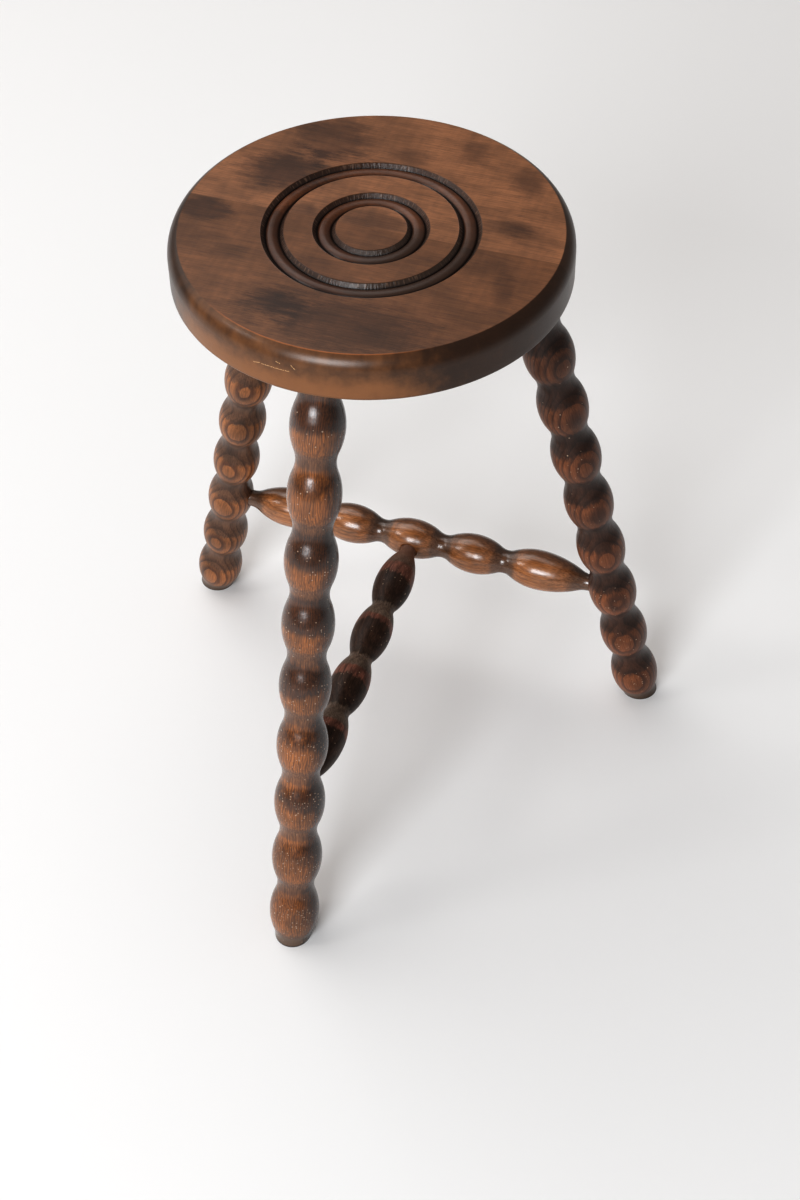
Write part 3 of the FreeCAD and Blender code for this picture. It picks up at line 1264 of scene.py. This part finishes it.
@dataclass(frozen=True)
class SeatFinish:
    """The stained top and rim of a seat board. Lengths are in millimetres from the seat's top centre."""

    name: str
    early: Colour
    late: Colour
    stained: Colour  # what the blotches multiply the colour by
    quirks: tuple[float, ...]  # radii of the sharp hollows beside the ring beads
    walls: tuple[tuple[float, float], ...]  # radii between which the ring walls lie
    arris: float  # radius of the flat top's edge
    rim: float  # radius of the seat
    thickness: float
    blotches: tuple[Blotch, ...] = ()
    scratches: tuple[Scratch, ...] = ()
    year: float = 3.4  # thickness of one growth layer
    layer_lean: tuple[float, float] = (0.32, 0.95)  # the way across the growth layers, as its Y and Z
    wander: float = 26.0  # how far the growth layers stray
    dullness: float = 0.55  # how rough the wood is under the varnish
    coat: float = 0.75  # how much varnish there is
    coat_dullness: float = 0.3  # how rough the varnish is
    coat_index: float = 1.55  # its refractive index
    torn_and_sheen_toward: tuple[float, float] = (0.82, -0.57)  # the way to the rings' torn side, whose grey is partly painted sheen, as its X and Y
    amber_angle: float = -97.0  # degrees round the rim to its amber part, partly real colour and partly painted light
    amber_reach: tuple[float, float] = (0.45, 0.95)  # radians to each side to where it fades and ends
    amber_heights: tuple[float, float] = (-26.0, -10.0)  # where on the rim it is strongest and weakest
    bottom_dark_reach: float = 3.0  # how far up the rim its darker lower edge reaches
    seed: float = 0.0  # where in the noise the board lies

    def material(self, top: Vector) -> bpy.types.Material:
        """Makes the material.

        Args:
            top: The centre of the seat's top.

        Returns:
            The material.
        """
        graph = Graph(self.name)
        place = graph.in_millimetres(top, ORIGIN)
        x, y, z = graph.parts(place)
        radius = graph.length(graph.joined(x, y, 0.0))

        sway = graph.noise(graph.scaled(place, BOARD_SWAY, self.seed), 2.0)
        depth = graph.plus(graph.times(y, self.layer_lean[0]), graph.times(z, self.layer_lean[1]))
        depth = graph.plus(depth, graph.times(graph.minus(sway, 0.5), self.wander))
        late = graph.layers(depth, self.year)
        fibres = graph.noise(graph.scaled(place, BOARD_FIBRES, self.seed), 3.0, 0.65)
        flecks = graph.noise(graph.scaled(place, BOARD_FLECKS, self.seed + 2.0), 1.0)
        flecks = graph.span(flecks, 0.6, 0.72)
        cross = graph.noise(graph.scaled(place, BOARD_CROSS_MARKS, self.seed + 4.0), 3.0, 0.6)
        patches = graph.noise(graph.scaled(place, BOARD_PATCHES, self.seed + 6.0), 3.0, 0.6)

        colour = graph.mix(graph.times(late, 0.25), self.early, self.late)
        shade = graph.swing(fibres, 0.8, 1.2)
        shade = graph.times(shade, graph.swing(cross, 0.93, 1.07))
        shade = graph.times(shade, graph.swing(patches, 0.76, 1.22))
        shade = graph.times(shade, graph.span(flecks, 0.0, 1.0, 1.0, 0.66))
        colour = graph.shaded(colour, shade)
        colour = graph.mix(self.stain(graph, place), colour, self.stained, "MULTIPLY")
        colour = self.rings(graph, place, radius, colour)
        colour = self.edge(graph, place, radius, colour)

        relief = graph.minus(graph.times(fibres, 0.6), graph.times(flecks, 0.5))
        torn = graph.bump(self.torn(graph, place, radius), TORN_DEPTH)
        dull = graph.plus(graph.times(fibres, 0.2), self.dullness - 0.1)
        grain = graph.bump(relief, BOARD_GRAIN_DEPTH, torn)
        graph.surface(colour, dull, grain, graph.bump(relief, VARNISH_DEPTH, torn))
        graph.varnish(self.coat, self.coat_dullness, self.coat_index)
        return graph.material

    def stain(self, graph: Graph, place: Socket) -> Socket:
        """How dark the blotches make each place.

        Args:
            graph: The material's nodes.
            place: The place from the seat's top centre.

        Returns:
            From 0, clear, to 1.
        """
        stray = graph.noise(graph.scaled(place, BLOTCH_EDGES, self.seed + 9.0), 5.0, 0.8)
        fray = graph.times(graph.minus(stray, 0.5), 1.9)
        total: Value = 0.0
        for blotch in self.blotches:
            shift = Vector((blotch.x, blotch.y, 0.0))
            turn = Vector((0.0, 0.0, math.radians(blotch.turn)))
            size = Vector((blotch.half_length, blotch.half_width, 60.0))
            distance = graph.length(graph.moved(place, shift, turn, size))
            distance = graph.plus(distance, graph.times(fray, 1.0 - 0.6 * blotch.hard))
            inner = 0.7 * blotch.hard + 0.2
            total = graph.plus(total, graph.span(distance, inner, 1.15, 0.9 * blotch.strength, 0.0))
        return graph.maths("MINIMUM", total, 1.0)

    def torn(self, graph: Graph, place: Socket, radius: Socket) -> Socket:
        """The torn grain across the ring walls.

        Args:
            graph: The material's nodes.
            place: The place from the seat's top centre.
            radius: Its distance from the seat's axis.

        Returns:
            The relief, from 0 to 1.
        """
        x, y, _ = graph.parts(place)
        angle = graph.maths("ARCTAN2", y, x)
        fibres = graph.joined(graph.times(angle, 45.0), graph.times(radius, 0.2), self.seed)
        grain = graph.noise(fibres, 2.0)
        return graph.times(grain, self.on_walls(graph, radius))

    def on_walls(self, graph: Graph, radius: Socket) -> Socket:
        """Finds the ring walls.

        Args:
            graph: The material's nodes.
            radius: The place's distance from the seat's axis.

        Returns:
            From 0, off the walls, to 1 on them.
        """
        total: Value = 0.0
        for inner, outer in self.walls:
            middle = (inner + outer) / 2
            half = (outer - inner) / 2
            apart = graph.maths("ABSOLUTE", graph.minus(radius, middle))
            total = graph.plus(total, graph.span(apart, half - 0.5, half + 0.3, 1.0, 0.0))
        return total

    def rings(self, graph: Graph, place: Socket, radius: Socket, colour: Socket) -> Socket:
        """Stains the sunk rings, darkens their walls, paints shade in their quirks, and greys their torn
        side with grain and painted sheen.

        Args:
            graph: The material's nodes.
            place: The place from the seat's top centre.
            radius: Its distance from the seat's axis.
            colour: The colour so far.

        Returns:
            The new colour.
        """
        x, y, _ = graph.parts(place)
        toward = graph.plus(graph.times(x, self.torn_and_sheen_toward[0]), graph.times(y, self.torn_and_sheen_toward[1]))
        torn_and_sheen_side = graph.span(graph.maths("DIVIDE", toward, radius), 0.35, 0.85)
        total: Value = 0.0
        for inner, outer in zip(self.walls[::2], self.walls[1::2]):
            apart = graph.maths("ABSOLUTE", graph.minus(radius, (inner[0] + outer[1]) / 2))
            half = (outer[1] - inner[0]) / 2
            total = graph.plus(total, graph.span(apart, half - 0.4, half, 1.0, 0.0))
        colour = graph.mix(graph.times(total, 0.85), colour, RING_STAIN, "MULTIPLY")
        grain = self.torn(graph, place, radius)
        wall = graph.times(self.on_walls(graph, radius), 0.8)
        # Grey of the torn side, partly torn grain and partly painted sheen.
        colour = graph.mix(wall, colour, graph.mix(torn_and_sheen_side, RING_WALL, TORN_WALL_AND_SHEEN))
        colour = graph.mix(graph.times(graph.times(total, torn_and_sheen_side), 0.7), colour, TORN_BEAD_AND_SHEEN)
        colour = graph.mix(graph.span(grain, 0.52, 0.7, 0.0, 0.6), colour, TORN_FIBRE)
        # Painted shade in the quirks.
        for quirk in self.quirks:
            apart = graph.maths("ABSOLUTE", graph.minus(radius, quirk))
            colour = graph.mix(graph.span(apart, 0.35, 1.3, 0.85, 0.0), colour, QUIRK_PAINTED_SHADE)
        return colour

    def edge(self, graph: Graph, place: Socket, radius: Socket, colour: Socket) -> Socket:
        """Stains the rim with painted shade on its sides and painted light on its front, rubs its arris
        pale at the front and scratches it.

        Args:
            graph: The material's nodes.
            place: The place from the seat's top centre.
            radius: Its distance from the seat's axis.
            colour: The colour so far.

        Returns:
            The new colour.
        """
        x, y, z = graph.parts(place)
        angle = graph.maths("ARCTAN2", y, x)
        round_rim = graph.joined(graph.times(angle, 12.0), graph.times(z, 0.08), self.seed)
        uneven = graph.noise(round_rim, 3.0, 0.6)
        beyond = graph.minus(radius, self.arris)
        outside = graph.span(beyond, -0.5, 0.5)
        # Amber front partly real colour, partly painted light; dark sides partly stain, partly painted
        # shade.
        from_amber = graph.maths("ABSOLUTE", graph.minus(angle, math.radians(self.amber_angle)))
        amber = graph.span(from_amber, *self.amber_reach, 1.0, 0.0)
        amber = graph.times(amber, graph.span(z, *self.amber_heights, 0.85, 0.4))
        amber = graph.plus(amber, graph.times(graph.minus(uneven, 0.5), 0.7))
        rim = graph.mix(graph.span(amber, 0.0, 0.9), RIM_STAIN_AND_SHADE, RIM_AMBER)
        colour = graph.mix(graph.times(outside, 0.9), colour, rim)
        bottom = graph.span(z, -self.thickness, self.bottom_dark_reach - self.thickness, 0.5, 0.0)
        colour = graph.mix(bottom, colour, RIM_BOTTOM)
        apart = graph.maths("ABSOLUTE", graph.plus(beyond, 0.1))
        front = graph.span(graph.maths("DIVIDE", y, radius), -0.97, -0.78, 0.7, 0.0)
        worn = graph.times(graph.span(apart, 0.1, 0.7, 1.0, 0.0), graph.span(uneven, 0.3, 0.5, 0.5, 1.0))
        colour = graph.mix(graph.times(worn, front), colour, RUBBED_ARRIS)
        for scratch in self.scratches:
            line = self.on_scratch(graph, angle, z, scratch)
            colour = graph.mix(line, colour, SCRATCHED_WOOD)
        return colour

    def on_scratch(self, graph: Graph, angle: Socket, z: Socket, scratch: Scratch) -> Socket:
        """How near a place on the rim is to a scratch.

        Args:
            graph: The material's nodes.
            angle: The place's angle round the seat.
            z: Its height from the seat's top.
            scratch: The scratch.

        Returns:
            From 0, away from it, to 1 on it.
        """
        start = Vector((math.radians(scratch.start[0]) * self.rim, scratch.start[1], 0.0))
        end = Vector((math.radians(scratch.end[0]) * self.rim, scratch.end[1], 0.0))
        along = end - start
        reach = along.length
        lean = math.atan2(along.y, along.x)
        here = graph.joined(graph.times(angle, self.rim), z, 0.0)
        local = graph.moved(here, start, Vector((0.0, 0.0, lean)), Vector((1.0, 1.0, 1.0)))
        run, off, _ = graph.parts(local)
        past = graph.minus(graph.maths("ABSOLUTE", graph.minus(run, reach / 2)), reach / 2)
        past = graph.maths("MAXIMUM", past, 0.0)
        gap = graph.length(graph.joined(past, off, 0.0))
        broken = graph.noise(graph.joined(graph.times(run, 0.9), off, self.seed), 2.0)
        return graph.times(graph.span(gap, 0.12, 0.5, 0.9, 0.0), graph.span(broken, 0.42, 0.55))


FRONT_BLOTCHES = (
    Blotch(-112.0, -13.0, 22.0, 13.0, 0.85, 0.0, 0.6),
    Blotch(-35.0, -90.0, 30.0, 24.0, 0.6),
    Blotch(20.0, -98.0, 78.0, 36.0, 0.75),
    Blotch(-22.0, -46.0, 18.0, 11.0, 0.5),
    Blotch(100.0, -34.0, 9.0, 22.0, 0.5, 10.0, 0.2),
    Blotch(60.0, -22.0, 30.0, 7.0, 0.3, -6.0),
    Blotch(-80.0, -52.0, 16.0, 10.0, 0.3, 20.0),
)
REAR_BLOTCHES = (
    Blotch(-76.0, 42.0, 34.0, 27.0, 1.0, 8.0, 0.3),
    Blotch(-58.0, 88.0, 35.0, 29.0, 0.75, -12.0, 0.4),
    Blotch(-40.0, 66.0, 30.0, 12.0, 0.35),
    Blotch(1.0, 82.0, 17.0, 13.0, 0.5),
    Blotch(40.0, 100.0, 14.0, 18.0, 0.6, 12.0),
    Blotch(84.0, 76.0, 14.0, 22.0, 0.55, 20.0),
    Blotch(88.0, 26.0, 20.0, 10.0, 0.6),
    Blotch(104.0, 20.0, 22.0, 34.0, 0.3),
    Blotch(-50.0, 4.0, 14.0, 10.0, 0.65, 0.0, 0.5),
    Blotch(-2.0, 8.0, 26.0, 11.0, 0.6, 0.0, 0.6),
)
RIM_SCRATCHES = (
    Scratch((-101.7, -15.8), (-93.5, -15.3)),
    Scratch((-104.3, -16.8), (-102.3, -15.6)),
    Scratch((-97.2, -10.1), (-96.1, -10.8)),
    Scratch((-92.8, -10.0), (-91.7, -12.5)),
)


@dataclass
class Seat:
    """The round seat: two boards glued edge to edge, turned with two sunk rings. Lengths are in metres."""

    height: float = 0.5  # floor to the flat top
    rim: float = 0.134  # the seat's radius
    thickness: float = 0.032
    edge_width: float = 0.007  # from the arris of the flat top out to the rim
    edge_drop: float = 0.012  # from the flat top down to the upright part of the rim
    underside_round: float = 0.002
    boss: float = 0.0234  # the inner ring's inner radius
    outer_ring: float = 0.0573  # the outer ring's inner radius
    wall_width: float = 0.003
    bead_width: float = 0.0092
    bead_height: float = 0.0026  # above the ring's floor
    ring_depth: float = 0.0036
    segments: int = 288  # steps round the axis
    pieces: dict[Facing, bpy.types.Object] = field(default_factory=dict)

    @property
    def underside(self) -> float:
        """The height of the flat underside."""
        return self.height - self.thickness

    @property
    def ring_width(self) -> float:
        """How wide each sunk ring is."""
        return 2 * self.wall_width + self.bead_width

    def cut_ring(self, outline: Outline, start: float) -> None:
        """Draws one sunk ring: a wall, a round bead and a wall.

        Args:
            outline: The seat's outline, whose tip is at the ring's inner edge.
            start: The ring's inner radius.
        """
        floor = self.height - self.ring_depth
        outline.line_to(start + self.wall_width, floor, steps=3)
        half = self.bead_width / 2
        reach = (half * half + self.bead_height * self.bead_height) / (2 * self.bead_height)
        turn = 2 * math.asin(half / reach)
        centre = start + self.wall_width + half
        outline.arc_about(centre, floor + self.bead_height - reach, turn, steps=14)
        outline.line_to(start + self.ring_width, self.height, steps=3)

    def draw(self) -> bmesh.types.BMesh:
        """Turns the whole seat.

        Returns:
            Its mesh.
        """
        mesh = bmesh.new()
        outline = Outline(mesh, 0.0, self.height)
        outline.line_to(self.boss, self.height, steps=6)
        self.cut_ring(outline, self.boss)
        outline.line_to(self.outer_ring, self.height, steps=6)
        self.cut_ring(outline, self.outer_ring)
        outline.line_to(self.rim - self.edge_width, self.height, steps=12)
        edge_radius = (self.edge_width ** 2 + self.edge_drop ** 2) / (2 * self.edge_width)
        drop = self.height - self.edge_drop
        outline.arc_about(self.rim - edge_radius, drop, math.asin(self.edge_drop / edge_radius), steps=14)
        outline.line_to(self.rim, self.underside + self.underside_round, steps=4)
        corner = self.rim - self.underside_round
        outline.arc_about(corner, self.underside + self.underside_round, math.pi / 2, steps=6)
        outline.line_to(0.0, self.underside, steps=8)
        lathe(mesh, self.segments)
        return mesh

    def build(self) -> None:
        """Builds both boards."""
        for facing, name in ((Facing.FRONT, "seat_board_front"), (Facing.REAR, "seat_board_rear")):
            mesh = self.draw()
            outer = Vector((0.0, -facing.value, 0.0))
            seam = cut_flat(mesh, ORIGIN, outer)
            bmesh.ops.edgeloop_fill(mesh, edges=seam)
            self.pieces[facing] = finished(mesh, name, crease=24.0)

    def socket(self, leg: Leg) -> bpy.types.Object:
        """Makes the solid that bores one leg's socket.

        Args:
            leg: The leg.

        Returns:
            The cutter.
        """
        length = leg.tenon_length + SOCKET_RELIEF + leg.tenon_radius
        start = leg.length - leg.tenon_radius
        lift = Matrix.Translation((0.0, 0.0, start + length / 2))
        cutter = rod(leg.tenon_radius + GLUE_GAP, length, leg.segments, leg.placement @ lift)
        return finished(cutter, leg.name + "_socket")

    def bore_sockets(self, front: list[Leg], rear: list[Leg]) -> None:
        """Bores the blind sockets of the legs.

        Args:
            front: The legs that go into the front board.
            rear: The legs that go into the rear board.
        """
        bore(self.pieces[Facing.FRONT], [self.socket(leg) for leg in front])
        bore(self.pieces[Facing.REAR], [self.socket(leg) for leg in rear])

    def dress(self) -> None:
        """Gives each board its finish, and puts both in the frame."""
        rings = [edge / MILLIMETRE for edge in (self.boss, self.outer_ring)]
        wall = self.wall_width / MILLIMETRE
        width = self.ring_width / MILLIMETRE
        quirks = tuple(place for ring in rings for place in (ring + wall, ring + width - wall))
        walls = tuple(
            band for ring in rings for band in ((ring, ring + wall), (ring + width - wall, ring + width))
        )
        shared = {
            "quirks": quirks, "walls": walls,
            "arris": (self.rim - self.edge_width) / MILLIMETRE, "rim": self.rim / MILLIMETRE,
            "thickness": self.thickness / MILLIMETRE,
        }
        finishes = {
            Facing.FRONT: SeatFinish(
                "front_board_stain", early=tint(112, 75, 49), late=tint(84, 55, 38),
                stained=tint(144, 136, 136),
                blotches=FRONT_BLOTCHES, scratches=RIM_SCRATCHES, seed=3.0, **shared,
            ),
            Facing.REAR: SeatFinish(
                "rear_board_stain", early=tint(136, 94, 65), late=tint(108, 74, 52),
                stained=tint(134, 128, 132),
                blotches=REAR_BLOTCHES, seed=41.0, **shared,
            ),
        }
        nodes = {Facing.FRONT: "seat_front_board", Facing.REAR: "seat_rear_board"}
        for facing, piece in self.pieces.items():
            material = finishes[facing].material(UP * self.height)
            place_in_frame(piece, material, nodes[facing])


@dataclass(frozen=True)
class SoftBox:
    """A soft studio light, placed round the object. Lengths are in metres and angles in degrees."""

    name: str
    azimuth: float  # 0 is in front, 90 to the right
    elevation: float
    distance: float
    width: float
    height: float
    power: float  # in watts
    colour: Colour = (1.0, 1.0, 1.0)

    def place(self, aim: Vector) -> None:
        """Hangs the light and turns it to a point.

        Args:
            aim: The point that it lights.
        """
        light = bpy.data.lights.new(self.name, "AREA")
        light.shape = "RECTANGLE"
        light.size = self.width
        light.size_y = self.height
        light.energy = self.power
        light.color = self.colour
        lamp = bpy.data.objects.new(self.name, light)
        bpy.context.scene.collection.objects.link(lamp)
        across, up = math.radians(self.azimuth), math.radians(self.elevation)
        back = Vector((math.sin(across) * math.cos(up), -math.cos(across) * math.cos(up), math.sin(up)))
        turn = (-back).to_track_quat("-Z", "Y").to_matrix().to_4x4()
        lamp.matrix_world = Matrix.Translation(aim + back * self.distance) @ turn


@dataclass(frozen=True)
class Camera:
    """The photograph's viewpoint. Lengths are in metres, except the lens, and angles in radians."""

    place: tuple[float, float, float] = (0.3920, -1.0730, 1.3601)
    heading: float = -0.33832  # from +Y towards +X
    dip: float = 0.81619  # below the horizon
    roll: float = 0.02093
    lens: float = 64.84  # millimetres, on a sensor whose long side is 36

    def set_up(self) -> None:
        """Makes the scene's camera."""
        level = math.cos(self.dip)
        sine, cosine = math.sin(self.heading), math.cos(self.heading)
        ahead = Vector((sine * level, cosine * level, -math.sin(self.dip)))
        right = Vector((cosine, -sine, 0.0))
        down = ahead.cross(right)
        turned_right = right * math.cos(self.roll) + down * math.sin(self.roll)
        turned_down = down * math.cos(self.roll) - right * math.sin(self.roll)
        turn = Matrix((turned_right, -turned_down, -ahead)).transposed().to_4x4()
        data = bpy.data.cameras.new("photo_view")
        data.lens = self.lens
        camera = bpy.data.objects.new("photo_view", data)
        bpy.context.scene.collection.objects.link(camera)
        camera.matrix_world = Matrix.Translation(self.place) @ turn
        bpy.context.scene.camera = camera


@dataclass(frozen=True)
class Studio:
    """The pale floor, the lights and the surrounding brightness."""

    floor_size: float = 14.0
    floor_tone: Colour = tint(236, 235, 234)
    floor_roughness: float = 0.85
    aim_height: float = 0.25  # the height that the lights are turned to
    surround: Colour = (0.32, 0.305, 0.295)
    exposure: float = -0.45
    lights: tuple[SoftBox, ...] = (
        SoftBox(
            "front_window", azimuth=-6.0, elevation=31.0, distance=4.5, width=2.0, height=1.8,
            power=150.0, colour=(0.92, 0.96, 1.0),
        ),
        SoftBox(
            "side_window", azimuth=-60.0, elevation=40.0, distance=3.0, width=0.5, height=0.5,
            power=7.0,
        ),
        SoftBox(
            "left_wall", azimuth=-105.0, elevation=40.0, distance=3.0, width=3.5, height=2.6,
            power=30.0,
        ),
        SoftBox(
            "ceiling", azimuth=-130.0, elevation=68.0, distance=3.0, width=2.5, height=2.5,
            power=28.0,
        ),
    )

    def set_up(self) -> None:
        """Lays the floor and hangs the lights."""
        mesh = bmesh.new()
        bmesh.ops.create_grid(mesh, x_segments=1, y_segments=1, size=self.floor_size / 2)
        floor = finished(mesh, "floor")
        graph = Graph("floor_paper")
        graph.shader.inputs["Base Color"].default_value = (*self.floor_tone, 1.0)
        graph.shader.inputs["Roughness"].default_value = self.floor_roughness
        floor.data.materials.append(graph.material)
        world = bpy.data.worlds.new("surround")
        world.use_nodes = True
        glow = next(node for node in world.node_tree.nodes if node.type == "BACKGROUND")
        glow.inputs["Color"].default_value = (*self.surround, 1.0)
        bpy.context.scene.world = world
        view = bpy.context.scene.view_settings
        view.view_transform = "Standard"
        view.look = "High Contrast"
        view.exposure = self.exposure
        for light in self.lights:
            light.place(UP * self.aim_height)


def main() -> None:
    """Builds the stool and its studio, and reports each piece."""
    logging.basicConfig(level=logging.INFO, format="%(message)s")
    Camera().set_up()
    Studio().set_up()
    seat = Seat()
    base = Base(seat.underside)
    seat.build()
    base.build()
    seat.bore_sockets([base.legs["front"]], [base.legs["right_rear"], base.legs["left_rear"]])
    seat.dress()
    base.dress()


if __name__ == "__main__":
    main()
